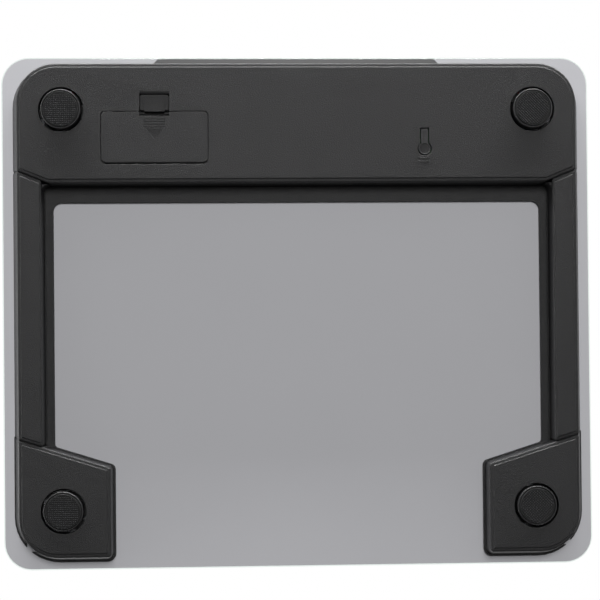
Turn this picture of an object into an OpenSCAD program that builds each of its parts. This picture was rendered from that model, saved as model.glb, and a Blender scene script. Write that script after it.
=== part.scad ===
// Digital bathroom scale: a glass platform on a U-shaped moulded base with four load-cell feet.
// Millimetres. +Z is up, +Y is the display edge, and the feet stand on z = 0.
// The base is seen from below: battery door at +X, unit button at -X.

/* [Glass platform] */
// Width of the glass, side to side
glass_w = 300; // [290:1:360]
// Depth of the glass, front to rear
glass_d = 260; // [250:1:312]
// Thickness of the toughened glass
glass_t = 5; // [4:0.5:8]
// Radius of the glass corners
glass_corner_r = 14; // [6:1:22]
// Width of the ground edge round the glass
glass_arris = 0.5; // [0.3:0.1:1]
// Thickness of the printed layers under the glass
print_t = 0.2; // [0.15:0.05:0.4]
// Bare margin between the print and the edge of the glass
print_margin = 0.7; // [0.5:0.1:2]

/* [Base moulding] */
// Height of the base, from its underside to the glass
frame_h = 15; // [14.6:0.2:18]
// Gap from the side of the glass to the base
side_overhang = 5.75; // [3:0.25:8]
// Gap from the display edge of the glass to the base
rear_overhang = 3; // [2:0.25:8]
// Gap from the front edge of the glass to the base
front_overhang = 4.25; // [2:0.25:8]
// Radius of the outer corners of the base, at the glass
frame_corner_r = 23; // [18:1:26]
// Depth of the electronics bar
bar_d = 63.1; // [62:0.5:76]
// Width of each side rail, at the glass
rail_w = 16.05; // [15:0.5:20]
// Width of each rear pod, at the glass
pod_w = 50.7; // [50:0.5:61]
// Length of the inner side of each pod
pod_l = 48.65; // [47:0.05:59]
// Slope of the pods' inner ends
pod_slope = 17.5; // [10:0.5:22]
// Slope of the two ends of the bar
bar_slope = 22; // [12:0.5:28]
// Length over which each end of the bar slopes
bar_end_run = 20.1; // [18:0.5:26]
// Width of the glue flange beside the rails
flange_side = 4.3; // [3:0.1:6]
// Width of the glue flange beside the bar
flange_bar = 8.1; // [6:0.1:12]
// Thickness of the glue flange
flange_t = 2; // [1.6:0.1:3]
// Radius of the window's corners beside the bar
window_r = 4.4; // [2:0.2:8]
// Thickness of the floor of the base
floor_t = 2; // [1.6:0.1:2.6]
// Thickness of the side walls
wall_t = 2; // [1.5:0.1:2.4]

/* [Feet and load cells] */
// Height of the base's underside above the floor
foot_drop = 2.5; // [2:0.1:5]
// Radius of a foot
foot_r = 9.85; // [8:0.05:11]
// Radius of the rubber pad under a foot
pad_r = 8.65; // [7:0.05:9.5]
// Clear gap between a foot and its well
well_gap = 1.4; // [1:0.1:2]
// Distance of the feet in from the sides of the base
foot_inset_side = 25.95; // [25:0.1:30]
// Distance of the display-side feet in from the base's edge
foot_inset_rear = 26.15; // [25:0.1:32]
// Distance of the front feet in from the base's edge
foot_inset_front = 26.7; // [25:0.1:29]
// Side of a square load cell
cell_w = 30; // [28:0.5:31]
// Thickness of a load cell
cell_t = 2.6; // [2:0.1:3]
// Upward travel of a foot at full load
foot_travel = 0.5; // [0.2:0.1:0.8]

/* [Battery bay] */
// Length of the battery door
door_w = 53; // [52:0.2:60]
// Depth of the battery door
door_d = 25.8; // [25:0.2:30]
// Thickness of the battery door
door_t = 1.8; // [1.4:0.1:2]
// Gap round the battery door
door_gap = 0.4; // [0.25:0.05:0.6]
// Distance of the door's centre in from the side of the base
door_inset_side = 72.45; // [72:0.1:80]
// Distance of the door's centre in from the display edge
door_inset_rear = 40.2; // [39:0.1:44]
// Diameter of a battery cell
battery_d = 10.5; // [10:0.1:10.6]
// Overall length of a battery cell
battery_l = 44.5; // [43.5:0.1:44.6]
// Width of the latch tab
latch_w = 14.2; // [10:0.2:18]
// Length of the latch tab
latch_l = 8.45; // [6:0.1:9.5]
// Travel of the latch tab
latch_travel = 1.2; // [0.8:0.1:1.3]

/* [Unit button] */
// Distance of the button in from the side of the base
button_inset_side = 80.65; // [78:0.1:84]
// Distance of the button's round pad in from the display edge
button_inset_rear = 46.1; // [45:0.1:50]
// Radius of the button's round pad
button_r = 3.1; // [2.6:0.1:4]
// Width of the springy tongue
tongue_w = 3.7; // [3:0.1:5]
// Length of the tongue, from its root to the pad's centre
tongue_l = 10.4; // [8:0.1:14]
// Width of the slot round the button
slot_w = 0.5; // [0.4:0.05:0.8]

/* [Display and circuit] */
// Width of the display panel
lcd_w = 68; // [60:1:70]
// Depth of the display panel
lcd_d = 30; // [26:1:31]
// Thickness of the display panel
lcd_t = 2.8; // [2:0.1:3]
// Depth of the circuit board
board_d = 38; // [37:0.5:40]
// Thickness of the circuit board
board_t = 1.6; // [1.2:0.2:1.6]
// Width of the black display field, at the glass edge
mask_w = 141; // [110:1:150]
// Thickness of the sensor wires' ribbon
ribbon_t = 1; // [0.8:0.1:1.2]
// Width of the sensor wires' ribbon
ribbon_w = 3.6; // [3:0.1:3.8]

/* [Hidden] */
$fn = 64;
eps = 0.01;

// Heights, from the floor up
base_z = foot_drop;
floor_z = base_z + floor_t;
rim_z = base_z + frame_h;
glass_z = rim_z + print_t;
flange_z = rim_z - flange_t;

// Plan of the base, at the glass
hx = glass_w / 2 - side_overhang;
y_rear = glass_d / 2 - rear_overhang;
y_front = front_overhang - glass_d / 2;
bar_y = y_rear - bar_d;
rail_x = hx - rail_w;
pod_x = hx - pod_w;
pod_y = y_front + pod_l;
window_x = rail_x - flange_side;
window_y = bar_y - flange_bar;
bar_end_rise = bar_end_run * tan(bar_slope);

// How far each kind of side leans in, from the glass down to the bevel, and the bevel's width
lip_w = 1.1;
lip_end = 0.8;
lip_front = 0.8;
lean_outer = 3.8;
lean_rear = 2.9;
lean_front = 2.6;
lean_bar = 0.2;
lean_rail = 0.1;
lean_pod_side = 0.15;
lean_pod_end = 0.2;
bevel_outer = 2.1;
bevel_rear = 2.4;
bevel_front = 2.5;
bevel_bar = 2.5;
bevel_rail = 1.1;
bevel_pod_side = 2.4;
bevel_end = 2.2;
corner_steps = 10;

// The moulded edge, from the underside out over its step to the wall, as
// [share of the bevel, height above the underside]
edge_curve = [
    [1, 0], [0.88, 0.05], [0.8, 0.17], [0.77, 0.34], [0.75, 0.5], [0.36, 0.52], [0.2, 0.6],
    [0.08, 0.8], [0.02, 1.05], [0, 1.35]
];

// Feet
foot_x = hx - foot_inset_side;
foot_y_rear = y_rear - foot_inset_rear;
foot_y_front = y_front + foot_inset_front;
well_r = foot_r + well_gap;
collar_t = 1.6;
collar_z = floor_z + 4.1;
cell_z = floor_z + 4.9;
cell_top = cell_z + cell_t;
pad_h = 1.5;
rim_lift = 0.35;
shoulder_r = 4;
stud_r = 2;
stud_gap = 0.2;
post_w = 4;
post_reach = cell_w / 2 + 2.6;
retainer_t = 2;
retainer_rim = 3.5;
ear_reach = cell_w / 2 + 2.9;
ear_r = 2.5;
boss_r = 2.5;
screw_r = 1;
screw_gap = 0.05;
head_r = 1.9;
head_h = 1.2;
screw_bite = 5;

// Battery bay
door_cx = hx - door_inset_side;
door_cy = y_rear - door_inset_rear;
open_w = door_w + 2 * door_gap;
open_d = door_d + 2 * door_gap;
door_y0 = door_cy - door_d / 2;
door_y1 = door_cy + door_d / 2;
door_corner_r = 1.8;
ledge = 1.2;
bay_w = open_w - 2 * ledge;
bay_d = open_d - 2 * ledge;
bay_wall = 1.6;
bay_fit = 0.1;
bay_z = base_z + door_t + bay_fit;
bay_clear = 0.45;
battery_z = bay_z + bay_clear + battery_d / 2;
bay_roof_z = battery_z + battery_d / 2 + bay_clear;
bay_roof_t = 1.2;
bay_x0 = door_cx - bay_w / 2;
bay_x1 = door_cx + bay_w / 2;
battery_pitch = battery_d + 0.5;
contact_t = 0.4;
nub_h = 0.8;
nub_r = 1.9;
hook_x = 15;
hook_w = 8;
hook_reach = 1.8;
latch_slot_w = latch_w + 0.6;
latch_slot_d = 2;
latch_y0 = door_y1 + 0.25;
latch_y1 = latch_y0 + latch_l;
latch_z = base_z + 1;
latch_t = 1.4;
latch_end_gap = 0.3;
recess_y = latch_y1 + latch_end_gap;
recess_slope = 1.4;
arm_w = 1.9;

// Unit button
button_x = button_inset_side - hx;
button_y = y_rear - button_inset_rear;
root_y = button_y + tongue_l;
root_gap = 0.1;
tongue_t = 1.6;
pivot_y = root_y - tongue_t / 2;
ring_r = 2.45;
post_h = 0.85;

// Display and circuit board
board_z = floor_z + 5.1;
board_top = board_z + board_t;
board_cy = bar_y + 28.1;
board_x0 = button_x - 8.4;
board_x1 = door_cx - open_w / 2 - bay_wall - 0.8;
board_y0 = board_cy - board_d / 2;
board_y1 = board_cy + board_d / 2;
lcd_z = rim_z - 0.3 - lcd_t;
bezel_wall = 2.5;
bezel_gap = 0.2;
switch_w = 6;
plunger_r = 1.75;
plunger_gap = 0.05;
plunger_h = base_z + tongue_t + post_h;
switch_z = plunger_h + 1.15;
mask_y0 = window_y + 6;

function unit(v) = v / norm(v);
function cross2(a, b) = a.x * b.y - a.y * b.x;
function side_normal(a, b) = let (d = unit(b - a)) [-d.y, d.x];

// Corner b of the outline a-b-c after its two sides move inwards by da and dc
function inset_corner(a, b, c, da, dc) =
    let (m = side_normal(a, b), n = side_normal(b, c), j = m * b + da, k = n * b + dc,
         det = cross2(m, n))
    [(j * n.y - k * m.y) / det, (m.x * k - n.x * j) / det];

// Counter-clockwise outline with side i (from point i to the next) moved in by depth[i]
function inset(pts, depth) =
    let (n = len(pts))
    [for (i = [0:n - 1])
        inset_corner(pts[(i + n - 1) % n], pts[i], pts[(i + 1) % n], depth[(i + n - 1) % n], depth[i])];

// Arc of radius r that rounds corner b of the outline a-b-c
function corner_arc(a, b, c, r, steps) =
    let (u = unit(a - b), v = unit(c - b), half = acos(u * v) / 2,
         centre = b + unit(u + v) * r / sin(half),
         from = b + u * r / tan(half) - centre,
         turn = (cross2(u, v) > 0 ? -1 : 1) * (180 - 2 * half))
    [for (i = [0:steps]) let (t = turn * i / steps)
        centre + [from.x * cos(t) - from.y * sin(t), from.x * sin(t) + from.y * cos(t)]];

// Outline with corner i rounded to radius r[i]
function rounded(pts, r, steps = corner_steps) =
    let (n = len(pts))
    [for (i = [0:n - 1])
        each corner_arc(pts[(i + n - 1) % n], pts[i], pts[(i + 1) % n], r[i], steps)];

function box_outline(w, d, at = [0, 0]) =
    [at + [-w, -d] / 2, at + [w, -d] / 2, at + [w, d] / 2, at + [-w, d] / 2];

function flip(pts) = [for (i = [len(pts) - 1:-1:0]) [-pts[i].x, pts[i].y]];

module rounded_box(w, d, h, r, at = [0, 0], z = 0) {
    translate([0, 0, z]) linear_extrude(h) polygon(rounded(box_outline(w, d, at), [r, r, r, r]));
}

module block(x0, x1, y0, y1, z0, z1) {
    translate([x0, y0, z0]) cube([x1 - x0, y1 - y0, z1 - z0]);
}

module disc(r, z0, z1, at = [0, 0]) {
    translate([at.x, at.y, z0]) cylinder(r = r, h = z1 - z0);
}

// A tub moulding with leaning sides and a bevelled lower edge
module moulding(pts, r, start, lean, bevel) {
    n = len(pts);
    function softened(depth) = [for (i = [0:n - 1])
        max(r[i] - (depth[i] + depth[(i + n - 1) % n]) / 2, 0.4)];
    function edge_ring(e) =
        let (depth = [for (i = [0:n - 1]) start[i] + lean[i] + e.x * bevel[i]])
        [for (p = rounded(inset(pts, depth), softened(depth))) [p.x, p.y, base_z + e.y]];
    loft(concat([for (e = edge_curve) edge_ring(e)],
                [[for (p = rounded(inset(pts, start), r)) [p.x, p.y, rim_z]]]));
}

// Solid skin over rings of equally many points, each ring above the one before it
module loft(rings) {
    n = len(rings[0]);
    top = len(rings) - 1;
    polyhedron(
        points = [for (ring = rings) each ring],
        faces = concat(
            [[for (k = [0:n - 1]) k]],
            [for (i = [0:top - 1]) for (k = [0:n - 1]) let (a = i * n, b = a + n, m = (k + 1) % n)
                each [[a + k, b + k, b + m], [a + k, b + m, a + m]]],
            [[for (k = [n - 1:-1:0]) top * n + k]]));
}

// Outlines of the parts of the base at the glass, counter-clockwise, for the +X side
bar_outline = [
    [-hx, y_rear], [-hx, bar_y + bar_end_rise], [bar_end_run - hx, bar_y],
    [hx - bar_end_run, bar_y], [hx, bar_y + bar_end_rise], [hx, y_rear]
];
function pod_line(x) = pod_y + (x - pod_x) * tan(pod_slope);
pod_outline = [[pod_x, y_front], [hx, y_front], [hx, pod_line(hx)], [pod_x, pod_line(pod_x)]];
pod_start = [lip_front, 0, lip_end, lip_w];
pod_lean = [lean_front, lean_outer, lean_pod_end, lean_pod_side];
pod_bevel = [bevel_front, bevel_outer, bevel_end, bevel_pod_side];
pod_r = [4.2, frame_corner_r, 1.2, 3];
rail_drop = (lip_end + lean_pod_end) / cos(pod_slope);
function bar_line(x) = bar_y + (x - hx + bar_end_run) * tan(bar_slope);
rail_outline = [
    [rail_x, pod_line(rail_x) - rail_drop], [hx, pod_line(hx) - rail_drop],
    [hx, bar_line(hx)], [rail_x, bar_line(rail_x)]
];
rail_lean = [0, lean_outer, 0, lean_rail];
rail_bevel = [bevel_end, bevel_outer, bevel_end, bevel_rail];
bar_r = [frame_corner_r, 1.2, 6, 6, 1.2, frame_corner_r];
bar_lean = [lean_outer, 0, lean_bar, 0, lean_outer, lean_rear];
bar_bevel = [bevel_outer, bevel_end, bevel_bar, bevel_end, bevel_outer, bevel_rear];
window_outline = [
    [pod_x, y_front - 9], [pod_x, pod_y], [window_x, pod_line(window_x)], [window_x, window_y],
    [-window_x, window_y], [-window_x, pod_line(window_x)], [-pod_x, pod_y], [-pod_x, y_front - 9]
];
window_corner_r = [0.5, 3, 2, window_r, window_r, 2, 3, 0.5];

// Pocket inside a moulding: its outline moved in past the lean by the wall thickness
function pocket(pts, start, lean) =
    rounded(inset(pts, [for (i = [0:len(pts) - 1]) start[i] + lean[i] + wall_t]),
            [for (p = pts) 2]);

module both_sides() {
    children();
    mirror([1, 0, 0]) children();
}

module base_shell() {
    moulding(bar_outline, bar_r, [0, 0, 0, 0, 0, 0], bar_lean, bar_bevel);
    both_sides() {
        moulding(rail_outline, [1.2, 1.2, 1.2, 1.2], [0, 0, 0, 0], rail_lean, rail_bevel);
        moulding(pod_outline, pod_r, pod_start, pod_lean, pod_bevel);
    }
    flange();
    // Rounded corners and a fine bead where the walls of the open bay meet the flange
    translate([0, 0, base_z + 2.2]) linear_extrude(frame_h - 2.2) difference() {
        polygon(bay_outline);
        polygon(rounded(bay_outline, bay_r));
    }
    translate([0, 0, flange_z - bead_h]) linear_extrude(bead_h + eps) difference() {
        polygon(rounded(bay_outline, bay_r));
        polygon(rounded(inset(bay_outline, [bead_w, bead_w, bead_w, -1]), bay_r));
    }
}

bead_w = 0.5;
bead_h = 0.35;
bay_outline = [
    [rail_x, pod_line(rail_x) - 2], [rail_x, bar_y], [-rail_x, bar_y], [-rail_x, pod_line(rail_x) - 2]
];
bay_r = [0.5, 3, 3, 0.5];

// Thin plate the glass is bonded to: beside the rails and the bar, and a lip round the pods
module flange() {
    translate([0, 0, flange_z]) linear_extrude(flange_t) {
        difference() {
            polygon(rounded(inset(
                [[-hx, pod_y], [hx, pod_y], [hx, y_rear], [-hx, y_rear]], [0, 0.7, 0.7, 0.7]),
                [0.5, 0.5, frame_corner_r, frame_corner_r]));
            polygon(rounded(window_outline, window_corner_r));
        }
        both_sides() polygon(rounded(pod_outline, pod_r));
    }
}

module base_pockets() {
    translate([0, 0, floor_z]) {
        linear_extrude(frame_h) polygon(pocket(bar_outline, [0, 0, 0, 0, 0, 0], bar_lean));
        both_sides() {
            linear_extrude(frame_h) polygon(pocket(rail_outline, [0, 0, 0, 0], rail_lean));
            linear_extrude(frame_h) polygon(pocket(pod_outline, pod_start, pod_lean));
        }
    }
    // Wire passes from the pods through the rails to the bar
    both_sides() {
        wire_pass(pod_line(hx - rail_w / 2) - rail_drop);
        wire_pass(bar_line(hx - rail_w / 2));
    }
}

module wire_pass(y) {
    block(rail_cable_x - 2.8, rail_cable_x + 2.8, y - 8, y + 8, cell_top - 1, rim_z + 1);
}

module foot_sites() {
    for (sx = [-1, 1]) for (y = [foot_y_front, foot_y_rear]) translate([sx * foot_x, y, 0]) children();
}

module foot_seat() {
    disc(well_r + collar_t, floor_z - eps, collar_z);
    for (sx = [-1, 1]) {
        // Posts under the cell's corners, trimmed round to stay behind the leaning skirt
        intersection() {
            disc(post_reach, floor_z - eps, cell_z);
            for (sy = [-1, 1])
                translate([sx * (cell_w / 2 - post_w / 2), sy * (cell_w / 2 - post_w / 2), floor_z - eps])
                    translate([-post_w / 2, -post_w / 2, 0]) cube([post_w, post_w, cell_z - floor_z + eps]);
        }
        disc(boss_r, floor_z - eps, cell_top, [0, sx * ear_reach]);
    }
}

board_screw_sites = [
    [board_x0 + 5, board_y1 - 5], [board_x1 - 3.5, board_y1 - 7.5],
    [board_x1 - 3.5, board_y0 + 6.5], [board_x0 + 22, board_y0 + 5]
];

module bay_block() {
    block(door_cx - open_w / 2 - bay_wall, door_cx + open_w / 2 + bay_wall,
          door_cy - open_d / 2 - bay_wall, door_cy + open_d / 2 + bay_wall,
          floor_z - eps, bay_roof_z + bay_roof_t);
    block(door_cx - latch_slot_w / 2 - bay_wall, door_cx + latch_slot_w / 2 + bay_wall,
          door_cy, recess_y + 3.2, floor_z - eps, latch_z + 5);
}

module bay_cuts() {
    translate([0, 0, base_z - 1]) linear_extrude(door_t + bay_fit + 1)
        polygon(rounded(box_outline(open_w, open_d, [door_cx, door_cy]),
            [for (i = [0:3]) door_corner_r + door_gap]));
    block(bay_x0, bay_x1, door_cy - bay_d / 2, door_cy + bay_d / 2, bay_z - eps, bay_roof_z);
    // Finger recess with its sloped end, and the room for the catch
    translate([door_cx - latch_slot_w / 2, 0, 0]) rotate([90, 0, 90]) linear_extrude(latch_slot_w)
        polygon([
            [door_cy, base_z - 1], [recess_y + 2 * recess_slope, base_z - 1],
            [recess_y, latch_z], [recess_y, latch_z + latch_t + 2.4],
            [door_cy, latch_z + latch_t + 2.4]
        ]);
    // Pockets for the door's two hooks
    for (s = [-1, 1])
        block(door_cx + s * hook_x - hook_w / 2 - 0.4, door_cx + s * hook_x + hook_w / 2 + 0.4,
              door_y0 - hook_reach, door_cy, bay_z - eps, bay_z + 3);
    // Slit for the two leads
    block(bay_x0 - 5, bay_x0 + 1, door_cy - 8, door_cy + 8, bay_roof_z - 3, bay_roof_z + 3);
}

module button_cut() {
    disc(button_r + slot_w, base_z - 1, floor_z + 1, [button_x, button_y]);
    block(button_x - tongue_w / 2 - slot_w, button_x + tongue_w / 2 + slot_w,
          button_y, root_y + root_gap, base_z - 1, floor_z + 1);
}

module base_frame() {
    color("#343436") difference() {
        union() {
            difference() {
                base_shell();
                base_pockets();
            }
            foot_sites() foot_seat();
            bay_block();
            for (s = board_screw_sites) disc(2.5, floor_z - eps, board_z, s);
        }
        foot_sites() {
            disc(well_r, base_z - 1, collar_z + 1);
            for (sx = [-1, 1])
                disc(screw_r + screw_gap, cell_top - screw_bite, cell_top + 1, [0, sx * ear_reach]);
        }
        for (s = board_screw_sites) disc(screw_r + screw_gap, board_z - screw_bite, board_z + 1, s);
        bay_cuts();
        button_cut();
        translate([0, 0, rim_z - tape_t]) linear_extrude(tape_t + 1) polygon(tape_outline);
    }
}

tape_t = 0.5;
tape_edge = 1;
tape_side_w = 5;
tape_outline =
    let (x0 = window_x + tape_edge, x1 = x0 + tape_side_w, y0 = pod_line(window_x) + 1,
         y1 = window_y + tape_edge, y2 = bar_y - tape_edge)
    [[x0, y0], [x1, y0], [x1, y2], [-x1, y2], [-x1, y0], [-x0, y0], [-x0, y1], [x0, y1]];

module bonding_tape() {
    color("#d8d8d2") translate([0, 0, rim_z - tape_t]) linear_extrude(tape_t) polygon(tape_outline);
}

module glass_slab(w, d, z, h, r) {
    translate([0, 0, z]) linear_extrude(h) polygon(rounded(box_outline(w, d), [r, r, r, r]));
}

module glass_platform() {
    color([0.78, 0.86, 0.84, 0.4]) hull() {
        glass_slab(glass_w, glass_d, glass_z + glass_arris, glass_t - 2 * glass_arris, glass_corner_r);
        glass_slab(glass_w - 2 * glass_arris, glass_d - 2 * glass_arris, glass_z, glass_t,
                   glass_corner_r - glass_arris);
    }
}

// The black field narrows by 45 degrees towards the display edge
mask_spread = 5.5;
mask_outline =
    let (y1 = glass_d / 2 - print_margin, x0 = mask_w / 2, x1 = mask_w / 2 + mask_spread)
    [[-x1, mask_y0], [x1, mask_y0], [x1, y1 - mask_spread], [x0, y1], [-x0, y1],
     [-x1, y1 - mask_spread]];

module mask_shape() {
    polygon(rounded(mask_outline, [3, 3, 1.5, 0.3, 0.3, 1.5]));
}

module silver_back_print() {
    color("#9a9b9e") translate([0, 0, rim_z]) linear_extrude(print_t) difference() {
        polygon(rounded(box_outline(glass_w - 2 * print_margin, glass_d - 2 * print_margin),
            [for (i = [0:3]) glass_corner_r - print_margin]));
        mask_shape();
        translate([-mask_w / 2, glass_d / 2 - print_margin - 1]) square([mask_w, 3]);
    }
}

module display_mask_print() {
    color("#0b0b0d") translate([0, 0, rim_z]) linear_extrude(print_t) difference() {
        mask_shape();
        polygon(rounded(box_outline(lcd_w - 6, lcd_d - 6, [0, board_cy]), [1, 1, 1, 1]));
    }
}

module foot_shell(at) {
    color("#48484a") translate(at) difference() {
        union() {
            disc(foot_r, rim_lift, cell_z - 1.2);
            disc(shoulder_r, cell_z - 1.3, cell_z);
            disc(stud_r, cell_z - eps, cell_top);
        }
        disc(pad_r + 0.35, -1, pad_h);
        difference() {
            disc(foot_r - 1.6, pad_h + 1.6, cell_z);
            disc(shoulder_r, 0, cell_z);
        }
    }
}

module foot_pad(at) {
    color("#2e2e2f") translate(at) {
        rotate_extrude() polygon([
            [0, 0], [pad_r - 0.3, 0], [pad_r, 0.3], [pad_r, pad_h - 0.4],
            [pad_r + 0.3, pad_h - 0.4], [pad_r + 0.3, pad_h], [0, pad_h]
        ]);
    }
}

tongue_cell_w = 18;
cell_slot_w = 2;

module load_cell(at) {
    color("#b9bcc0") translate(at) translate([0, 0, cell_z]) linear_extrude(cell_t) difference() {
        polygon(rounded(box_outline(cell_w, cell_w), [3, 3, 3, 3]));
        difference() {
            square(tongue_cell_w + 2 * cell_slot_w, center = true);
            square(tongue_cell_w, center = true);
            translate([-cell_w / 2, -3]) square([cell_w, 6]);
        }
        circle(r = stud_r + stud_gap);
    }
}

module cell_retainer(at) {
    inner = cell_w - 2 * retainer_rim;
    wire_x = -sign(at.x) * wire_offset;
    color("#3a3a3c") translate(at) translate([0, 0, cell_top]) linear_extrude(retainer_t) difference() {
        union() {
            polygon(rounded(box_outline(cell_w, cell_w), [3, 3, 3, 3]));
            for (s = [-1, 1]) {
                translate([0, s * ear_reach]) circle(r = ear_r);
                translate([0, s * (ear_reach - 2)]) square([2 * ear_r, 4], center = true);
            }
        }
        square(inner, center = true);
        translate([wire_x - ribbon_w / 2 - 0.4, 0]) square([ribbon_w + 0.8, cell_w]);
        for (s = [-1, 1]) translate([0, s * ear_reach]) circle(r = screw_r + 0.2);
    }
}

potting_y = 3.2;
potting_d = 4.6;
potting_h = 1.3;
wire_offset = 6.4;
wire_turn = 5.2;

module gauge_potting(at) {
    color("#e6e4de") translate(at)
        rounded_box(9, potting_d, potting_h, 1.5,
                    [-sign(at.x) * (wire_offset - 2), potting_y + potting_d / 2], cell_top);
}

// Sensor wires run as flat ribbons: out of the retainer, along the wall and onto the board
wire_z = cell_top + 0.2;
rail_cable_x = hx - 9.75;
wire_rear_y = y_rear - 8.8;
wire_bar_y = bar_y + 5.1;
wire_end_y = bar_y + 10;
wire_end_x = hx - 25;
wire_land_right = board_x1 - 1.9;
wire_land_left = board_x0 + 28;

module ribbon(x0, x1, y0, y1) {
    r = ribbon_w / 2;
    block(min(x0, x1) - r, max(x0, x1) + r, min(y0, y1) - r, max(y0, y1) + r, wire_z,
          wire_z + ribbon_t);
}

// Wires of a display-side cell: back past the cell, across the bar and forward to the board
module sensor_wires_rear(side) {
    r = ribbon_w / 2;
    x = side * (foot_x - wire_offset);
    land = side > 0 ? wire_land_right : wire_land_left;
    color("#8a2b2b") {
        ribbon(x, x, foot_y_rear + potting_y + potting_d + r, wire_rear_y);
        ribbon(x, land, wire_rear_y, wire_rear_y);
        ribbon(land, land, board_y1 - 2, wire_rear_y);
        block(land - r, land + r, board_y1 - 2 - r, board_y1 - r, board_top, wire_z + eps);
    }
}

// Wires of a front cell: out of the pod, up the rail, round the bar's end and along it to the board
module sensor_wires_front(side) {
    r = ribbon_w / 2;
    x = side * (foot_x - wire_offset);
    land = side > 0 ? wire_land_right : wire_land_left;
    turn_y = foot_y_front + cell_w / 2 + 2.4;
    color("#8a2b2b") {
        ribbon(x, x, foot_y_front + potting_y + potting_d + r, turn_y);
        ribbon(x, side * (foot_x - ear_r - 2.2), turn_y, turn_y);
        ribbon(side * (foot_x - ear_r - 2.2), side * (foot_x - ear_r - 2.2), turn_y, turn_y + wire_turn);
        ribbon(side * (foot_x - ear_r - 2.2), side * rail_cable_x, turn_y + wire_turn, turn_y + wire_turn);
        ribbon(side * rail_cable_x, side * rail_cable_x, turn_y + wire_turn, wire_end_y);
        ribbon(side * rail_cable_x, side * wire_end_x, wire_end_y, wire_end_y);
        ribbon(side * wire_end_x, side * wire_end_x, wire_end_y, wire_bar_y);
        ribbon(side * wire_end_x, land, wire_bar_y, wire_bar_y);
        ribbon(land, land, wire_bar_y, board_y0 + 2);
        block(land - r, land + r, board_y0 + r, board_y0 + 2 + r, board_top, wire_z + eps);
    }
}

module screw(at, seat_z, bite) {
    translate([at.x, at.y, 0]) difference() {
        union() {
            disc(screw_r, seat_z - bite, seat_z + eps);
            disc(head_r, seat_z, seat_z + head_h);
        }
        for (a = [0, 90])
            translate([0, 0, seat_z + head_h]) rotate([0, 0, a]) cube([2.2, 0.5, 1.2], center = true);
    }
}

module retainer_screws() {
    color("#c9cbcf")
        for (sx = [-1, 1]) for (y = [foot_y_front, foot_y_rear]) for (e = [-1, 1])
            screw([sx * foot_x, y + e * ear_reach], cell_top + retainer_t, screw_bite + retainer_t - 0.5);
}

module circuit_board() {
    color("#2f6b3a") difference() {
        block(board_x0, board_x1, board_y0, board_y1, board_z, board_top);
        for (s = board_screw_sites) disc(screw_r + 0.2, board_z - 1, board_top + 1, s);
    }
}

module board_screws() {
    color("#c9cbcf") for (s = board_screw_sites) screw(s, board_top, screw_bite + board_t - 0.5);
}

module chip_glob_top() {
    color("#15151a") translate([button_x + 40, board_cy, board_z - 1.2])
        cylinder(r1 = 4.5, r2 = 6, h = 1.2);
}

module lcd_panel() {
    color("#8f9a8c") rounded_box(lcd_w, lcd_d, lcd_t, 0.6, [0, board_cy], lcd_z);
}

module lcd_bezel() {
    w = lcd_w + 2 * (bezel_gap + bezel_wall);
    d = lcd_d + 2 * (bezel_gap + bezel_wall);
    color("#1f1f21") difference() {
        rounded_box(w, d, lcd_z + lcd_t - board_top, 1.5, [0, board_cy], board_top);
        rounded_box(lcd_w + 2 * bezel_gap, lcd_d + 2 * bezel_gap, frame_h, 0.8, [0, board_cy],
                    board_top - 1);
    }
}

module zebra_strips() {
    color("#c98fa0") for (s = [-1, 1])
        translate([0, board_cy + s * (lcd_d / 2 - 1.5), (board_top + lcd_z) / 2])
            cube([lcd_w - 4, 2, lcd_z - board_top], center = true);
}

module switch_body() {
    color("#5c5f63") difference() {
        rounded_box(switch_w, switch_w, board_z - switch_z, 0.5, [button_x, button_y], switch_z);
        disc(plunger_r + plunger_gap, switch_z - 1, switch_z + 2, [button_x, button_y]);
    }
}

module switch_plunger() {
    color("#1a1a1c") disc(plunger_r, plunger_h + 0.05, switch_z + 1.5, [button_x, button_y]);
}

module unit_button() {
    color("#38383a") difference() {
        union() {
            disc(button_r, base_z, base_z + tongue_t, [button_x, button_y]);
            block(button_x - tongue_w / 2, button_x + tongue_w / 2, button_y, pivot_y, base_z,
                  base_z + tongue_t);
            translate([button_x - tongue_w / 2, pivot_y, base_z + tongue_t / 2]) rotate([0, 90, 0])
                cylinder(r = tongue_t / 2, h = tongue_w);
            disc(1.5, base_z + tongue_t - eps, plunger_h, [button_x, button_y]);
        }
        // Shallow finger dish inside the raised ring
        disc(ring_r, base_z - 1, base_z + 0.3, [button_x, button_y]);
    }
}

// The door's edge at the hinge is fully rounded about its own axis, and two hooks hold it in
hinge_y = door_y0 + door_t / 2;
hinge_z = base_z + door_t / 2;
hinge_inset = 1.8;

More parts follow.
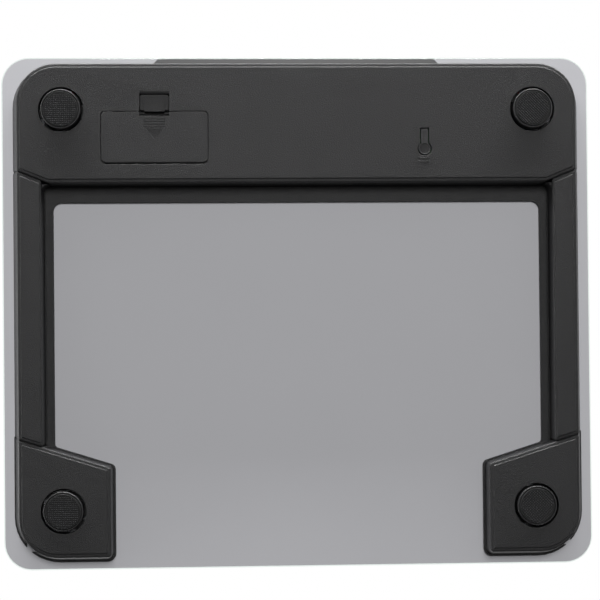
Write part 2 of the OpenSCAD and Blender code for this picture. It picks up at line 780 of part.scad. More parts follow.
module battery_door() {
    notch_y = door_y1 - latch_slot_d;
    color("#39393b") difference() {
        union() {
            translate([0, 0, base_z]) linear_extrude(door_t) difference() {
                polygon(rounded(
                    [[door_cx - door_w / 2, hinge_y], [door_cx + door_w / 2, hinge_y],
                     [door_cx + door_w / 2, door_y1], [door_cx - door_w / 2, door_y1]],
                    [1.8, 1.8, door_corner_r, door_corner_r]));
                translate([door_cx - latch_slot_w / 2, notch_y]) square([latch_slot_w, 9]);
            }
            translate([door_cx, hinge_y, hinge_z]) rotate([0, 90, 0])
                cylinder(r = door_t / 2, h = door_w - 2 * hinge_inset, center = true);
            for (s = [-1, 1]) translate([door_cx + s * hook_x - hook_w / 2, 0, base_z + door_t])
                rotate([90, 0, 90]) linear_extrude(hook_w)
                    polygon([
                        [hinge_y + 0.9, -0.3], [hinge_y + 0.9, 1], [hinge_y - 1.8, 1],
                        [hinge_y - 1.8, 0.35], [hinge_y - 0.4, 0.35], [hinge_y - 0.1, -0.3]
                    ]);
            // The latch's two spring arms, which leave the door beside the slot
            for (s = [-1, 1])
                translate([door_cx + s * (latch_slot_w / 2 - arm_w / 2 - 0.3) - arm_w / 2, 0, 0])
                    rotate([90, 0, 90]) linear_extrude(arm_w)
                        polygon([
                            [notch_y - 0.9, base_z + door_t - 0.2], [notch_y, base_z + door_t - 0.2],
                            [notch_y + 0.9, base_z + door_t + 0.7], [notch_y + 0.9, base_z + 1],
                            [notch_y + 1.7, base_z + 1], [notch_y + 1.7, base_z + door_t + 1.7],
                            [notch_y - 0.9, base_z + door_t + 1.7]
                        ]);
        }
        // Grip lines and the opening arrow
        for (i = [0:3])
            block(door_cx - 5.3, door_cx + 5.3, door_y1 - 4 - i * 1.35, door_y1 - 3.5 - i * 1.35,
                  base_z - 1, base_z + 0.3);
        translate([door_cx, door_y1 - 8.5, base_z - 1]) linear_extrude(1.25)
            polygon([[-4.1, 0], [0, -5.3], [4.1, 0]]);
    }
}

module battery_door_latch() {
    top = latch_z + latch_t;
    color("#39393b") difference() {
        union() {
            translate([0, 0, latch_z]) linear_extrude(latch_t) difference() {
                polygon(rounded(box_outline(latch_w, latch_l, [door_cx, latch_y0 + latch_l / 2]),
                    [0.4, 0.4, 1.2, 1.2]));
                for (s = [-1, 1])
                    translate([door_cx + s * latch_w / 2, latch_y0]) square([4.6, 1.6], center = true);
            }
            block(door_cx - 5, door_cx + 5, latch_y1 - 1.6, latch_y1 - 0.1, top - eps, top + 1.6);
            // Raised thumb pad
            translate([0, 0, latch_z - 0.4]) linear_extrude(0.4 + eps) difference() {
                polygon(rounded(box_outline(10.4, 5.5, [door_cx, latch_y0 + 2.75]),
                    [0.3, 0.3, 0.8, 0.8]));
            }
        }
    }
}

module battery_cell(y, dir) {
    x_nub = dir > 0 ? bay_x1 - contact_t : bay_x0 + contact_t;
    color("#56606b") translate([x_nub, y, battery_z]) rotate([0, -90 * dir, 0]) {
        cylinder(r = nub_r, h = nub_h + eps);
        translate([0, 0, nub_h]) cylinder(r = battery_d / 2, h = battery_l - nub_h);
    }
}

module battery_cell_a() { battery_cell(door_cy - battery_pitch / 2, -1); }
module battery_cell_b() { battery_cell(door_cy + battery_pitch / 2, 1); }

// Wire coil round the X axis, from x = 0 to x = length, widening towards its plate
module contact_coil(length) {
    turns = 3;
    steps = 16;
    sides = 6;
    wire = 0.35;
    n = turns * steps;
    function centre(i) = let (t = i / n, r = 3.4 - 1.2 * t, a = 360 * i / steps)
        [length * t, r * cos(a), r * sin(a)];
    ring = [for (i = [0:n]) let (a = 360 * i / steps, out = [0, cos(a), sin(a)])
        for (k = [0:sides - 1])
            centre(i) + wire * (out * cos(360 * k / sides) + [1, 0, 0] * sin(360 * k / sides))];
    polyhedron(points = ring, faces = concat(
        [[for (k = [sides - 1:-1:0]) k]],
        [for (i = [0:n - 1]) for (k = [0:sides - 1])
            [i * sides + (k + 1) % sides, (i + 1) * sides + (k + 1) % sides, (i + 1) * sides + k,
             i * sides + k]],
        [[for (k = [0:sides - 1]) n * sides + k]]));
}

contact_w = 8;
coil_l = bay_w - 2 * contact_t - battery_l;

module contact_plate(x, y0, y1) {
    block(x, x + contact_t, y0 - contact_w / 2, y1 + contact_w / 2, battery_z - contact_w / 2,
          battery_z + contact_w / 2);
}

module battery_spring_contact() {
    y = door_cy + battery_pitch / 2;
    color("#c8cace") {
        contact_plate(bay_x0, y, y);
        translate([bay_x0 + contact_t - 0.05, y, battery_z]) contact_coil(coil_l - 0.45);
    }
}

module battery_flat_contact() {
    y = door_cy - battery_pitch / 2;
    color("#c8cace") contact_plate(bay_x0, y, y);
}

module battery_bridge_contact() {
    y = door_cy - battery_pitch / 2;
    color("#c8cace") {
        contact_plate(bay_x1 - contact_t, y, y + battery_pitch);
        translate([bay_x1 - contact_t + 0.05, y, battery_z]) mirror([1, 0, 0])
            contact_coil(coil_l - 0.45);
    }
}

module battery_leads() {
    lead_t = 1.2;
    z = bay_roof_z - lead_t - 0.4;
    color("#7d1f1f") for (s = [-1, 1]) {
        y = door_cy + s * battery_pitch / 2 - s * 2;
        block(board_x1 - 3, bay_x0 + contact_t, y - lead_t / 2, y + lead_t / 2, z, z + lead_t);
        block(board_x1 - 3, board_x1 - 3 + lead_t, y - lead_t / 2, y + lead_t / 2, board_top,
              z + eps);
    }
}

rear_right = [-foot_x, foot_y_rear, 0];
rear_left = [foot_x, foot_y_rear, 0];
front_right = [-foot_x, foot_y_front, 0];
front_left = [foot_x, foot_y_front, 0];

glass_platform();
silver_back_print();
display_mask_print();
bonding_tape();
base_frame();
foot_shell(rear_left);  // foot_shell_rear_left
foot_shell(rear_right);  // foot_shell_rear_right
foot_shell(front_left);  // foot_shell_front_left
foot_shell(front_right);  // foot_shell_front_right
foot_pad(rear_left);  // foot_pad_rear_left
foot_pad(rear_right);  // foot_pad_rear_right
foot_pad(front_left);  // foot_pad_front_left
foot_pad(front_right);  // foot_pad_front_right
load_cell(rear_left);  // load_cell_rear_left
load_cell(rear_right);  // load_cell_rear_right
load_cell(front_left);  // load_cell_front_left
load_cell(front_right);  // load_cell_front_right
cell_retainer(rear_left);  // cell_retainer_rear_left
cell_retainer(rear_right);  // cell_retainer_rear_right
cell_retainer(front_left);  // cell_retainer_front_left
cell_retainer(front_right);  // cell_retainer_front_right
gauge_potting(rear_left);  // gauge_potting_rear_left
gauge_potting(rear_right);  // gauge_potting_rear_right
gauge_potting(front_left);  // gauge_potting_front_left
gauge_potting(front_right);  // gauge_potting_front_right
sensor_wires_rear(1);  // sensor_wires_rear_left
sensor_wires_rear(-1);  // sensor_wires_rear_right
sensor_wires_front(1);  // sensor_wires_front_left
sensor_wires_front(-1);  // sensor_wires_front_right
retainer_screws();
circuit_board();
board_screws();
chip_glob_top();
lcd_panel();
lcd_bezel();
zebra_strips();
switch_body();
switch_plunger();
unit_button();
battery_door();
battery_door_latch();
battery_cell_a();
battery_cell_b();
battery_spring_contact();
battery_flat_contact();
battery_bridge_contact();
battery_leads();
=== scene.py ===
"""Looks of a digital bathroom scale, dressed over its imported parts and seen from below.

Lengths in the classes are millimetres unless a name says otherwise; Blender's scene is in metres.
"""

import logging
import math
from dataclasses import dataclass, field
from enum import Enum

import bmesh
import bpy
from mathutils import Matrix, Vector


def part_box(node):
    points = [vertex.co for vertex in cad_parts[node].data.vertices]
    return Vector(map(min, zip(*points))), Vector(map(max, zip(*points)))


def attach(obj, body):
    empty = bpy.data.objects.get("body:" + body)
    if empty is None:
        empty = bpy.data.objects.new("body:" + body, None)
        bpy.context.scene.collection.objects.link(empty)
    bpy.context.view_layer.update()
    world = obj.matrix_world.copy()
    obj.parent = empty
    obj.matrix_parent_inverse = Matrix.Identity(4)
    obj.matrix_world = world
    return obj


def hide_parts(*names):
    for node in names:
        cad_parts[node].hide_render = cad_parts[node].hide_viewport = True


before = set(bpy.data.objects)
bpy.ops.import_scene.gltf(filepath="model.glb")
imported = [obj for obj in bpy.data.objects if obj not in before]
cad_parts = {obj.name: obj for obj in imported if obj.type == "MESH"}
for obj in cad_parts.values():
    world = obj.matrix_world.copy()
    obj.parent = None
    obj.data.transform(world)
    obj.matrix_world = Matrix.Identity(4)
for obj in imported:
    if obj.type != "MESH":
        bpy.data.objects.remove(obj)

LOG = logging.getLogger("scale")
MM = 0.001
COAT_ROUGHNESS = 0.08
BEVEL_SAMPLES = 6
GLASS_IOR = 1.5
SLEEVE_ROUGHNESS = 0.3


def metres(millimetres: float) -> float:
    """Millimetres as metres."""
    return millimetres * MM


def linear(code: str, alpha: float = 1.0) -> tuple[float, float, float, float]:
    """Turns an sRGB hex colour into the linear colour that shaders take.

    Args:
        code: Colour such as "#3a3a3b".
        alpha: Opacity to go with it.

    Returns:
        Linear red, green and blue, and the alpha.
    """
    shares = [int(code[i : i + 2], 16) / 255 for i in (1, 3, 5)]
    red, green, blue = (c / 12.92 if c <= 0.04045 else ((c + 0.055) / 1.055) ** 2.4 for c in shares)
    return (red, green, blue, alpha)


def add_node(
    tree: bpy.types.NodeTree, kind: str, settings: dict | None = None, links: dict | None = None
) -> bpy.types.Node:
    """Adds one shader node.

    Args:
        tree: Node tree to add it to.
        kind: Blender's name of the node type.
        settings: Values for its inputs, by name or number, or for its own attributes.
        links: Output sockets to join to its inputs, by the input's name or number.

    Returns:
        The new node.
    """
    node = tree.nodes.new(kind)
    for key, value in (settings or {}).items():
        if isinstance(key, int) or key in node.inputs:
            node.inputs[key].default_value = value
        else:
            setattr(node, key, value)
    for key, source in (links or {}).items():
        tree.links.new(source, node.inputs[key])
    return node


class Corner(Enum):
    """The four feet, by where they stand; left is the +X side."""

    REAR_LEFT = "rear_left"
    REAR_RIGHT = "rear_right"
    FRONT_LEFT = "front_left"
    FRONT_RIGHT = "front_right"


@dataclass(frozen=True)
class Finish:
    """One real material: its colour and sheen, its fine relief and the drift of its colour."""

    name: str
    slot: str
    colour: str
    roughness: float
    metallic: float = 0.0
    specular: float = 0.5
    grain: float = 0.0
    relief: float = 0.0
    drift: float = 0.0
    drift_size: float = 20.0
    coat: float = 0.0
    rounding: float = 0.0

    def material(self) -> bpy.types.Material:
        """The material, made once and then shared."""
        made = bpy.data.materials.get(self.name)
        return made if made else self._build()

    def _build(self) -> bpy.types.Material:
        """Builds the node tree.

        Returns:
            The new material.
        """
        made = bpy.data.materials.new(self.name)
        made.use_nodes = True
        tree = made.node_tree
        tree.nodes.clear()
        place = add_node(tree, "ShaderNodeTexCoord").outputs["Object"]
        shader = add_node(
            tree,
            "ShaderNodeBsdfPrincipled",
            {
                "Base Color": linear(self.colour),
                "Roughness": self.roughness,
                "Metallic": self.metallic,
                "Specular IOR Level": self.specular,
                "Coat Weight": self.coat,
                "Coat Roughness": COAT_ROUGHNESS,
            },
        )
        if self.drift:
            tree.links.new(self._drifting(tree, place), shader.inputs["Base Color"])
        if self.relief or self.rounding:
            tree.links.new(self._relief(tree, place), shader.inputs["Normal"])
        add_node(tree, "ShaderNodeOutputMaterial", links={"Surface": shader.outputs[0]})
        return made

    def _drifting(self, tree: bpy.types.NodeTree, place: bpy.types.NodeSocket) -> bpy.types.NodeSocket:
        """The colour, a little lighter and darker from place to place.

        Args:
            tree: The material's nodes.
            place: Position on the piece.

        Returns:
            The colour socket.
        """
        cloud = add_node(
            tree,
            "ShaderNodeTexNoise",
            {"Scale": 1 / metres(self.drift_size), "Detail": 3.0},
            {"Vector": place},
        )
        span = add_node(
            tree,
            "ShaderNodeMapRange",
            {"From Min": 0.3, "From Max": 0.7, "To Min": 1 - self.drift, "To Max": 1 + self.drift},
            {"Value": cloud.outputs[0]},
        )
        base = linear(self.colour)
        scaled = add_node(
            tree,
            "ShaderNodeVectorMath",
            {"operation": "SCALE", 0: base[:3]},
            {"Scale": span.outputs[0]},
        )
        return scaled.outputs[0]

    def _relief(self, tree: bpy.types.NodeTree, place: bpy.types.NodeSocket) -> bpy.types.NodeSocket:
        """The normal of the fine grain.

        Args:
            tree: The material's nodes.
            place: Position on the piece.

        Returns:
            The normal socket.
        """
        pits = add_node(
            tree,
            "ShaderNodeTexNoise",
            {"Scale": 1 / metres(self.grain), "Detail": 4.0, "Roughness": 0.6},
            {"Vector": place},
        )
        links = {"Height": pits.outputs[0]}
        if self.rounding:
            edge = add_node(
                tree,
                "ShaderNodeBevel",
                {"samples": BEVEL_SAMPLES, "Radius": metres(self.rounding)},
            )
            links["Normal"] = edge.outputs[0]
        bump = add_node(
            tree, "ShaderNodeBump", {"Strength": 1.0, "Distance": metres(self.relief)}, links
        )
        return bump.outputs[0]


@dataclass(frozen=True)
class GlassFinish:
    """Clear toughened glass, a little green where light runs along it."""

    name: str
    slot: str
    colour: str
    roughness: float

    def material(self) -> bpy.types.Material:
        """Builds glass that light goes straight through, with the sheen of its surface.

        Returns:
            The new material.
        """
        made = bpy.data.materials.new(self.name)
        made.use_nodes = True
        tree = made.node_tree
        tree.nodes.clear()
        clear = add_node(tree, "ShaderNodeBsdfTransparent", {"Color": linear(self.colour)})
        sheen = add_node(tree, "ShaderNodeBsdfGlossy", {"Roughness": self.roughness})
        outer = add_node(
            tree,
            "ShaderNodeMath",
            {"operation": "SUBTRACT", 0: 1.0},
            {1: add_node(tree, "ShaderNodeNewGeometry").outputs["Backfacing"]},
        )
        fresnel = add_node(tree, "ShaderNodeFresnel", {"IOR": GLASS_IOR})
        share = add_node(
            tree,
            "ShaderNodeMath",
            {"operation": "MULTIPLY"},
            {0: fresnel.outputs[0], 1: outer.outputs[0]},
        )
        mix = add_node(
            tree,
            "ShaderNodeMixShader",
            links={0: share.outputs[0], 1: clear.outputs[0], 2: sheen.outputs[0]},
        )
        add_node(tree, "ShaderNodeOutputMaterial", links={"Surface": mix.outputs[0]})
        return made


@dataclass(frozen=True)
class BatteryFinish:
    """A cell's printed sleeve, with bare metal beyond it at both ends."""

    name: str
    slot: str
    sleeve: str
    metal: str
    middle: float
    half_length: float

    def material(self) -> bpy.types.Material:
        """Builds the banded material.

        Returns:
            The new material.
        """
        made = bpy.data.materials.new(self.name)
        made.use_nodes = True
        tree = made.node_tree
        shader = tree.nodes["Principled BSDF"]
        place = add_node(tree, "ShaderNodeTexCoord").outputs["Object"]
        along = add_node(tree, "ShaderNodeSeparateXYZ", links={0: place}).outputs[0]
        off = add_node(
            tree, "ShaderNodeMath", {"operation": "SUBTRACT", 1: metres(self.middle)}, {0: along}
        )
        far = add_node(tree, "ShaderNodeMath", {"operation": "ABSOLUTE"}, {0: off.outputs[0]})
        bare = add_node(
            tree,
            "ShaderNodeMath",
            {"operation": "GREATER_THAN", 1: metres(self.half_length)},
            {0: far.outputs[0]},
        )
        mix = add_node(
            tree,
            "ShaderNodeMix",
            {"data_type": "RGBA", 6: linear(self.sleeve), 7: linear(self.metal)},
            {0: bare.outputs[0]},
        )
        tree.links.new(mix.outputs[2], shader.inputs["Base Color"])
        tree.links.new(bare.outputs[0], shader.inputs["Metallic"])
        shader.inputs["Roughness"].default_value = SLEEVE_ROUGHNESS
        return made


# Spark-eroded ABS: a fine even grain that turns sharp reflections into a soft grey veil.
BASE_ABS = Finish(
    "abs_moulded_spark_texture", "base_plastic", "#1a1a1b", 0.42, specular=0.32, grain=0.4, relief=0.24,
    drift=0.05, drift_size=25, rounding=0.35,
)
# The door, latch and button share the plastic but come from another tool, with crisper edges.
HATCH_ABS = Finish(
    "abs_moulded_spark_texture_hatch", "base_plastic", "#1b1b1c", 0.42, specular=0.32, grain=0.4,
    relief=0.22, drift=0.05, drift_size=12, rounding=0.15,
)
# Foot shells are polypropylene: nearly as dark, smoother, with softly rounded rims.
FOOT_PLASTIC = Finish(
    "polypropylene_foot_moulding", "foot_plastic", "#1b1b1c", 0.42, specular=0.35, grain=0.45,
    relief=0.05, rounding=0.4,
)
# Rubber shows almost no highlight, only its moulded pattern.
PAD_RUBBER = Finish(
    "rubber_moulded_pad", "rubber", "#1f1f20", 0.7, specular=0.35, grain=0.3, relief=0.02
)
# Ink printed on the glass: even, silky and faintly cloudy from the screen.
SILVER_INK = Finish(
    "silver_ink_screen_print", "silver_print", "#c5c5c9", 0.6, specular=0.25, drift=0.008, drift_size=60
)
BLACK_INK = Finish("black_ink_screen_print", "black_print", "#18181a", 0.4)
FOAM_TAPE = Finish("acrylic_foam_tape", "foam_tape", "#d6d6d0", 0.8)
# Spring steel coloured near black, painted shade that keeps the gap round each foot dark.
SPRING_STEEL = Finish(
    "spring_steel_painted_gap_shade", "spring_steel", "#101012", 0.6, specular=0.3, drift=0.08, drift_size=8
)
BLACK_PLASTIC = Finish("abs_moulded_black_inner", "black_plastic", "#1b1b1d", 0.5, grain=0.3, relief=0.01)
POTTING = Finish("silicone_gauge_potting", "silicone", "#e2e0da", 0.45)
WIRE_PVC = Finish("pvc_wire_insulation", "wire", "#8a2b2b", 0.4)
SCREW_STEEL = Finish("screw_steel_zinc_plated", "zinc_steel", "#c5c8cc", 0.28, metallic=1.0)
LAMINATE = Finish("glass_epoxy_solder_mask", "circuit_laminate", "#2f6b3a", 0.3, drift=0.08, drift_size=6)
EPOXY = Finish("epoxy_glob_top", "epoxy", "#141417", 0.2)
DISPLAY = Finish("liquid_crystal_cell_unlit", "display_glass", "#8c978a", 0.15, coat=1.0)
ZEBRA = Finish("layered_contact_rubber", "contact_rubber", "#b98b98", 0.7)
NICKEL = Finish("nickel_plated_contact", "nickel", "#c8cace", 0.25, metallic=1.0)
GLASS = GlassFinish("toughened_float_glass", "glass", "#f5f9f7", 0.03)


@dataclass
class Refined:
    """A shown copy of a CAD node whose facets are smoothed and whose hard edges are softened."""

    node: str
    body: str
    finish: Finish | GlassFinish | BatteryFinish
    softness: float = 0.0
    crease: float = 38.0
    weld: float = 0.002
    merge_flats: bool = True

    def build(self) -> bpy.types.Object:
        """Makes the copy and lets it stand for its node.

        Returns:
            The new object.
        """
        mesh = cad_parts[self.node].data.copy()
        mesh.name = f"{self.node}_look"
        work = bmesh.new()
        work.from_mesh(mesh)
        bmesh.ops.remove_doubles(work, verts=work.verts, dist=metres(self.weld))
        if self.merge_flats:
            bmesh.ops.dissolve_limit(
                work, angle_limit=math.radians(0.4), verts=work.verts, edges=work.edges
            )
        bmesh.ops.recalc_face_normals(work, faces=work.faces)
        work.to_mesh(mesh)
        work.free()
        for name in [a.name for a in mesh.attributes if a.name == "custom_normal"]:
            mesh.attributes.remove(mesh.attributes[name])
        mesh.shade_smooth()
        mesh.set_sharp_from_angle(angle=math.radians(self.crease))
        made = bpy.data.objects.new(f"{self.node}_look", mesh)
        bpy.context.scene.collection.objects.link(made)
        mesh.materials.clear()
        mesh.materials.append(self.finish.material())
        if self.softness:
            self._soften(made)
        even = made.modifiers.new("flat_faces_lead", "WEIGHTED_NORMAL")
        even.keep_sharp = True
        even.weight = 100
        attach(made, self.body)
        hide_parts(self.node)
        return made

    def _soften(self, made: bpy.types.Object) -> None:
        """Rounds the hard edges of the copy.

        Args:
            made: The copy to round.
        """
        edge = made.modifiers.new("soft_edges", "BEVEL")
        edge.width = metres(self.softness)
        edge.segments = 2
        edge.limit_method = "ANGLE"
        edge.angle_limit = math.radians(self.crease)
        edge.harden_normals = False


def dress(node: str, finish: Finish | GlassFinish | BatteryFinish) -> None:
    """Gives a CAD node its material as it stands.

    Args:
        node: The CAD node.
        finish: What it is made of.
    """
    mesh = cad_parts[node].data
    mesh.materials.clear()
    mesh.materials.append(finish.material())


@dataclass
class RubberPad:
    """A foot's rubber pad: a knurled disc inside a groove and a plain ring."""

    corner: Corner
    radius: float = 8.65
    ring_inner: float = 8.4
    knurl_radius: float = 8.1
    groove_depth: float = 0.45
    knurl_pitch: float = 1.0
    knurl_depth: float = 0.28
    knurl_steepness: float = 2.2
    spacing: float = 0.16
    thickness: float = 1.5
    flange: float = 0.3
    ring_steps: int = 96

    def build(self) -> bpy.types.Object:
        """Makes the pad and lets it stand for its node.

        Returns:
            The new object.
        """
        node = f"foot_pad_{self.corner.value}"
        low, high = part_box(node)
        centre = (low + high) / 2
        work = bmesh.new()
        self._knurl(work)
        self._rim(work)
        for vert in work.verts:
            vert.co = Vector((centre.x, centre.y, 0)) + vert.co * MM
        bmesh.ops.recalc_face_normals(work, faces=work.faces)
        mesh = bpy.data.meshes.new(f"{node}_look")
        work.to_mesh(mesh)
        work.free()
        mesh.shade_smooth()
        mesh.set_sharp_from_angle(angle=math.radians(50))
        mesh.materials.append(PAD_RUBBER.material())
        made = bpy.data.objects.new(mesh.name, mesh)
        bpy.context.scene.collection.objects.link(made)
        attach(made, f"foot_{self.corner.value}")
        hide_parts(node)
        return made

    def _turned(self) -> float:
        """Angle of the knurl's rows: square on the left feet, diagonal on the right ones."""
        return 0.0 if self.corner in (Corner.REAR_LEFT, Corner.FRONT_LEFT) else math.radians(45)

    def _height(self, x: float, y: float) -> float:
        """Height of the knurled face above the pad's lowest plane.

        Args:
            x: Distance from the pad's centre.
            y: Distance from the pad's centre.

        Returns:
            The height, which is 0 on the top of each stud.
        """
        turn = self._turned()
        rows = (
            x * math.cos(turn) + y * math.sin(turn),
            y * math.cos(turn) - x * math.sin(turn),
        )
        crest = min(abs(2 * ((r / self.knurl_pitch) % 1) - 1) for r in rows)
        return self.knurl_depth * (1 - min(1.0, crest * self.knurl_steepness))

    def _knurl(self, work: bmesh.types.BMesh) -> None:
        """Adds the knurled disc.

        Args:
            work: Mesh to add it to.
        """
        count = math.ceil(self.knurl_radius / self.spacing) + 1
        grid: dict[tuple[int, int], bmesh.types.BMVert] = {}
        for i in range(-count, count + 1):
            for j in range(-count, count + 1):
                x, y = i * self.spacing, j * self.spacing
                far = math.hypot(x, y)
                if far > self.knurl_radius + 1.5 * self.spacing:
                    continue
                inside = far < self.knurl_radius
                pull = 1.0 if inside else self.knurl_radius / far
                height = self._height(x, y) if inside else self.groove_depth
                grid[i, j] = work.verts.new((x * pull, y * pull, height))
        for i, j in grid:
            ring = [(i, j), (i + 1, j), (i + 1, j + 1), (i, j + 1)]
            if all(spot in grid for spot in ring):
                work.faces.new([grid[spot] for spot in ring])

    def _rim(self, work: bmesh.types.BMesh) -> None:
        """Adds the groove, the plain ring, the pad's side and its back.

        Args:
            work: Mesh to add them to.
        """
        outer = self.radius + self.flange
        profile = [
            (self.knurl_radius - 0.2, self.groove_depth), (self.ring_inner - 0.08, self.groove_depth),
            (self.ring_inner, self.groove_depth - 0.1), (self.ring_inner, 0.08),
            (self.ring_inner + 0.05, 0.02), (self.radius - 0.08, 0.02), (self.radius - 0.02, 0.08),
            (self.radius, 0.3), (self.radius, 1.1), (outer, 1.1), (outer, self.thickness),
        ]
        rings = []
        for r, z in profile:
            angles = [2 * math.pi * k / self.ring_steps for k in range(self.ring_steps)]
            rings.append([work.verts.new((r * math.cos(a), r * math.sin(a), z)) for a in angles])
        for lower, upper in zip(rings, rings[1:]):
            for k in range(self.ring_steps):
                n = (k + 1) % self.ring_steps
                work.faces.new([lower[k], lower[n], upper[n], upper[k]])
        work.faces.new(rings[-1])


@dataclass
class UnitMark:
    """Two small raised arrows on the base that point opposite ways, beside the unit button."""

    centre: tuple[float, float] = (-63.2, 75.4)
    underside: float = 2.5
    length: float = 6.4
    row_gap: float = 1.9
    stem: float = 0.45
    head: float = 1.5
    rise: float = 0.12

    def build(self) -> bpy.types.Object:
        """Makes the mark.

        Returns:
            The new object.
        """
        work = bmesh.new()
        for way in (-1, 1):
            self._arrow(work, way)
        mesh = bpy.data.meshes.new("unit_change_mark")
        work.to_mesh(mesh)
        work.free()
        mesh.materials.append(BASE_ABS.material())
        made = bpy.data.objects.new("unit_change_mark", mesh)
        bpy.context.scene.collection.objects.link(made)
        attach(made, "base")
        return made

    def _arrow(self, work: bmesh.types.BMesh, way: int) -> None:
        """Adds one arrow.

        Args:
            work: Mesh to add it to.
            way: 1 to point along +X, -1 along -X.
        """
        half, neck = self.length / 2, self.length / 2 - self.head
        outline = [
            (-half, -self.stem / 2), (neck, -self.stem / 2), (neck, -self.head / 2), (half, 0),
            (neck, self.head / 2), (neck, self.stem / 2), (-half, self.stem / 2),
        ]
        level = self.underside - self.rise
        verts = [
            work.verts.new(
                (
                    metres(self.centre[0] + way * x),
                    metres(self.centre[1] + way * (y + self.row_gap / 2)),
                    metres(level),
                )
            )
            for x, y in reversed(outline)
        ]
        face = work.faces.new(verts)
        raised = bmesh.ops.extrude_face_region(work, geom=[face])
        for item in raised["geom"]:
            if isinstance(item, bmesh.types.BMVert):
                item.co.z = metres(self.underside + self.rise)
        bmesh.ops.recalc_face_normals(work, faces=work.faces)


@dataclass
class Platform:
    """The glass top with its two printed layers and the tape that holds it."""

    def build(self) -> list[str]:
        """Dresses the platform.

        Returns:
            Names of its nodes.
        """
        Refined("glass_platform", "base", GLASS, crease=25, merge_flats=False).build()
        dress("silver_back_print", SILVER_INK)
        dress("display_mask_print", BLACK_INK)
        dress("bonding_tape", FOAM_TAPE)
        return ["glass_platform", "silver_back_print", "display_mask_print", "bonding_tape"]


@dataclass
class BaseMoulding:
    """The U-shaped base, the battery door with its latch, and the unit button."""

    door_softness: float = 0.15
    key_softness: float = 0.15
    mark: UnitMark = field(default_factory=UnitMark)

    def build(self) -> list[str]:
        """Builds the moulded plastic pieces.

        Returns:
            Names of the nodes they stand for.
        """
        Refined("base_frame", "base", BASE_ABS, merge_flats=False).build()
        Refined("battery_door", "door", HATCH_ABS, self.door_softness).build()
        Refined("battery_door_latch", "door_latch", HATCH_ABS, self.door_softness).build()
        Refined("unit_button", "unit_key", HATCH_ABS, self.key_softness).build()
        self.mark.build()
        return ["base_frame", "battery_door", "battery_door_latch", "unit_button"]


@dataclass
class Feet:
    """The four feet with their load cells, retainers, potting and wires."""

    shell_softness: float = 0.3

    def build(self) -> list[str]:
        """Builds the feet.

        Returns:
            One name for each foot.
        """
        names = []
        for corner in Corner:
            at = corner.value
            Refined(f"foot_shell_{at}", f"foot_{at}", FOOT_PLASTIC, self.shell_softness).build()
            RubberPad(corner).build()
            # The load cells take the near-black steel: painted shade in the gap round each foot.
            dress(f"load_cell_{at}", SPRING_STEEL)
            dress(f"cell_retainer_{at}", BLACK_PLASTIC)
            dress(f"gauge_potting_{at}", POTTING)
            dress(f"sensor_wires_{at}", WIRE_PVC)
            names.append(f"foot_{at}")
        dress("retainer_screws", SCREW_STEEL)
        return names


@dataclass
class Electronics:
    """The circuit board with all it carries, and the display."""

    plain: tuple[tuple[str, Finish], ...] = (
        ("circuit_board", LAMINATE), ("board_screws", SCREW_STEEL), ("chip_glob_top", EPOXY),
        ("lcd_panel", DISPLAY), ("lcd_bezel", BLACK_PLASTIC), ("zebra_strips", ZEBRA),
        ("switch_body", BLACK_PLASTIC), ("switch_plunger", BLACK_PLASTIC), ("battery_leads", WIRE_PVC),
    )

    def build(self) -> list[str]:
        """Dresses the electronics.

        Returns:
            Names of the nodes.
        """
        for node, finish in self.plain:
            dress(node, finish)
        return [node for node, _ in self.plain]


@dataclass
class BatteryBay:
    """The two cells and the metal that joins them."""

    sleeve_share: float = 0.9
    sleeve: str = "#3c4a5c"
    metal: str = "#c8cace"

    def build(self) -> list[str]:
        """Dresses the cells and contacts.

        Returns:
            What was dressed.
        """
        for name in ("battery_cell_a", "battery_cell_b"):
            low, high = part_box(name)
            finish = BatteryFinish(
                f"{name}_printed_sleeve", "battery_sleeve", self.sleeve, self.metal,
                (low.x + high.x) / 2 / MM, (high.x - low.x) / 2 / MM * self.sleeve_share,
            )
            Refined(name, "base", finish, crease=30).build()
        for name in ("battery_spring_contact", "battery_flat_contact", "battery_bridge_contact"):
            dress(name, NICKEL)
        return ["battery_cell_a", "battery_cell_b", "battery contacts"]


@dataclass(frozen=True)
class SoftBox:
    """One soft studio light."""

    name: str
    place: tuple[float, float, float]
    aim: tuple[float, float, float]
    size: tuple[float, float]
    watts: float

    def build(self) -> None:
        """Adds the light to the scene."""
        light = bpy.data.lights.new(self.name, "AREA")
        light.shape = "RECTANGLE"
        light.size, light.size_y = self.size
        light.energy = self.watts
        made = bpy.data.objects.new(self.name, light)
        made.location = self.place
        made.rotation_euler = (Vector(self.aim) - Vector(self.place)).to_track_quat("-Z", "Y").to_euler()
        bpy.context.scene.collection.objects.link(made)


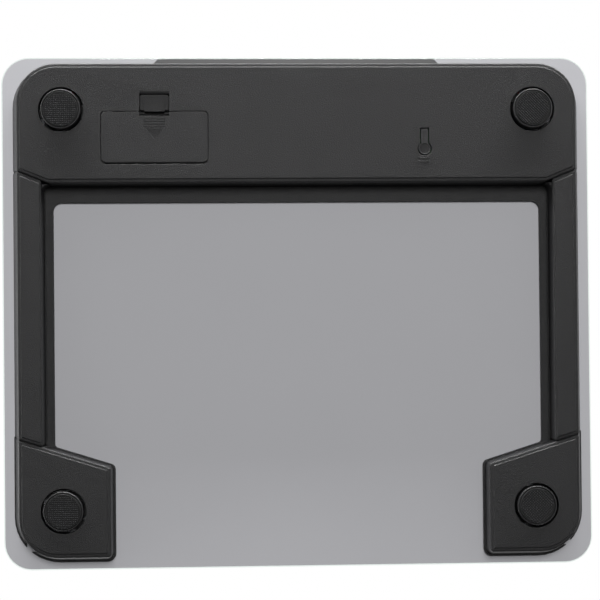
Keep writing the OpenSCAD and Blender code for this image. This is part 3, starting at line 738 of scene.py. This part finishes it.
@dataclass
class Studio:
    """A pale floor that can be looked through from below, soft lights, and the camera. In metres."""

    floor_side: float = 6.0
    ambient_level: float = 0.25
    ambient_steep: float = 0.06
    ambient_above: float = 0.9
    steep_slope: float = -0.85
    above_slope: float = 0.5
    floor_paint: str = "#e4e4e2"
    lens: float = 90.0
    sensor: float = 36.0
    camera_place: tuple[float, float, float] = (0.03244, -0.03456, -0.7471)
    camera_aim: tuple[float, float, float] = (-0.00047, -0.02472, 0.0175)
    camera_up: tuple[float, float, float] = (-0.0089, 0.99987, -0.01324)
    rise: float = 0.1
    lights: tuple[SoftBox, ...] = (
        SoftBox("underside_key_box", (-0.1, 0.62, -2.5), (0.0, 0.0, 0.0), (0.9, 0.9), 35.0),
        SoftBox("rear_rim_box", (0.0, 1.3, -0.07), (0.0, 0.1, 0.01), (2.0, 0.12), 80.0),
        SoftBox("left_rim_box", (1.3, 0.0, -0.03), (0.0, 0.0, 0.01), (1.6, 0.06), 12.0),
        SoftBox("right_rim_box", (-1.3, 0.0, -0.03), (0.0, 0.0, 0.01), (1.6, 0.06), 5.0),
        SoftBox("top_box", (0.4, -0.3, 1.6), (0.0, 0.0, 0.0), (1.6, 1.6), 22.0),
    )

    def build(self) -> None:
        """Builds the studio."""
        self._floor()
        self._world()
        for light in self.lights:
            light.build()
        self._camera()
        bpy.context.scene.view_settings.view_transform = "Standard"

    def _floor(self) -> None:
        """Adds the floor, which only shows from above."""
        bpy.ops.mesh.primitive_plane_add(size=self.floor_side)
        floor = bpy.context.object
        floor.name = "studio_floor"
        made = bpy.data.materials.new("studio_floor_paint")
        made.use_nodes = True
        tree = made.node_tree
        tree.nodes.clear()
        paint = add_node(tree, "ShaderNodeBsdfDiffuse", {"Color": linear(self.floor_paint)})
        clear = add_node(tree, "ShaderNodeBsdfTransparent")
        side = add_node(tree, "ShaderNodeNewGeometry").outputs["Backfacing"]
        mix = add_node(
            tree, "ShaderNodeMixShader", links={0: side, 1: paint.outputs[0], 2: clear.outputs[0]}
        )
        add_node(tree, "ShaderNodeOutputMaterial", links={"Surface": mix.outputs[0]})
        floor.data.materials.append(made)
        floor.visible_shadow = False
        floor.visible_diffuse = False
        floor.visible_glossy = False

    def _world(self) -> None:
        """Makes the surroundings: white to look at, and as a light bright only near the horizon."""
        world = bpy.data.worlds.new("studio_surroundings")
        bpy.context.scene.world = world
        world.use_nodes = True
        tree = world.node_tree
        tree.nodes.clear()
        way = add_node(tree, "ShaderNodeTexCoord").outputs["Generated"]
        slope = add_node(tree, "ShaderNodeSeparateXYZ", links={0: way}).outputs[2]
        below = self._rise(tree, slope, self.steep_slope, self.ambient_steep, self.ambient_level)
        above = self._rise(tree, slope, self.above_slope, self.ambient_level, self.ambient_above)
        upper = add_node(tree, "ShaderNodeMath", {"operation": "GREATER_THAN", 1: 0.0}, {0: slope})
        glow = add_node(
            tree, "ShaderNodeMix", links={"Factor": upper.outputs[0], "A": below, "B": above}
        )
        path = add_node(tree, "ShaderNodeLightPath").outputs
        seen = add_node(
            tree,
            "ShaderNodeMath",
            {"operation": "MAXIMUM"},
            {0: path["Is Camera Ray"], 1: path["Is Transmission Ray"]},
        ).outputs[0]
        strength = add_node(
            tree, "ShaderNodeMix", {"B": 1.0}, {"Factor": seen, "A": glow.outputs[0]}
        )
        sky = add_node(
            tree,
            "ShaderNodeBackground",
            {"Color": (1.0, 1.0, 1.0, 1.0)},
            {"Strength": strength.outputs[0]},
        )
        add_node(tree, "ShaderNodeOutputWorld", links={"Surface": sky.outputs[0]})

    def _rise(
        self, tree: bpy.types.NodeTree, slope: bpy.types.NodeSocket, end: float, low: float, high: float
    ) -> bpy.types.NodeSocket:
        """A smooth change of strength between the horizon and one height in the sky.

        Args:
            tree: The world's nodes.
            slope: Vertical share of the direction looked at.
            end: Share at which the change ends, below 0 for the lower half.
            low: Strength at the lower of the two heights.
            high: Strength at the higher of the two.

        Returns:
            The strength socket.
        """
        spans = {"From Min": min(end, 0.0), "From Max": max(end, 0.0), "To Min": low, "To Max": high}
        spans["interpolation_type"] = "SMOOTHSTEP"
        return add_node(tree, "ShaderNodeMapRange", spans, {"Value": slope}).outputs[0]

    def _camera(self) -> None:
        """Adds the camera, below the scale and looking up at it."""
        lens = bpy.data.cameras.new("studio_camera")
        lens.lens, lens.sensor_width, lens.shift_y = self.lens, self.sensor, self.rise
        lens.clip_start = 0.01
        made = bpy.data.objects.new("studio_camera", lens)
        back = (Vector(self.camera_place) - Vector(self.camera_aim)).normalized()
        right = Vector(self.camera_up).cross(back).normalized()
        up = back.cross(right)
        turn = Matrix((right, up, back)).transposed().to_4x4()
        made.matrix_world = Matrix.Translation(self.camera_place) @ turn
        bpy.context.scene.collection.objects.link(made)
        bpy.context.scene.camera = made


def main() -> None:
    """Builds every sub-assembly in order, then the studio."""
    logging.basicConfig(level=logging.INFO, format="%(message)s")
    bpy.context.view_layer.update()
    for part in (Platform(), BaseMoulding(), Feet(), Electronics(), BatteryBay()):
        for name in part.build():
            LOG.info("built %s", name)
    Studio().build()
    LOG.info("built the studio")


if __name__ == "__main__":
    main()
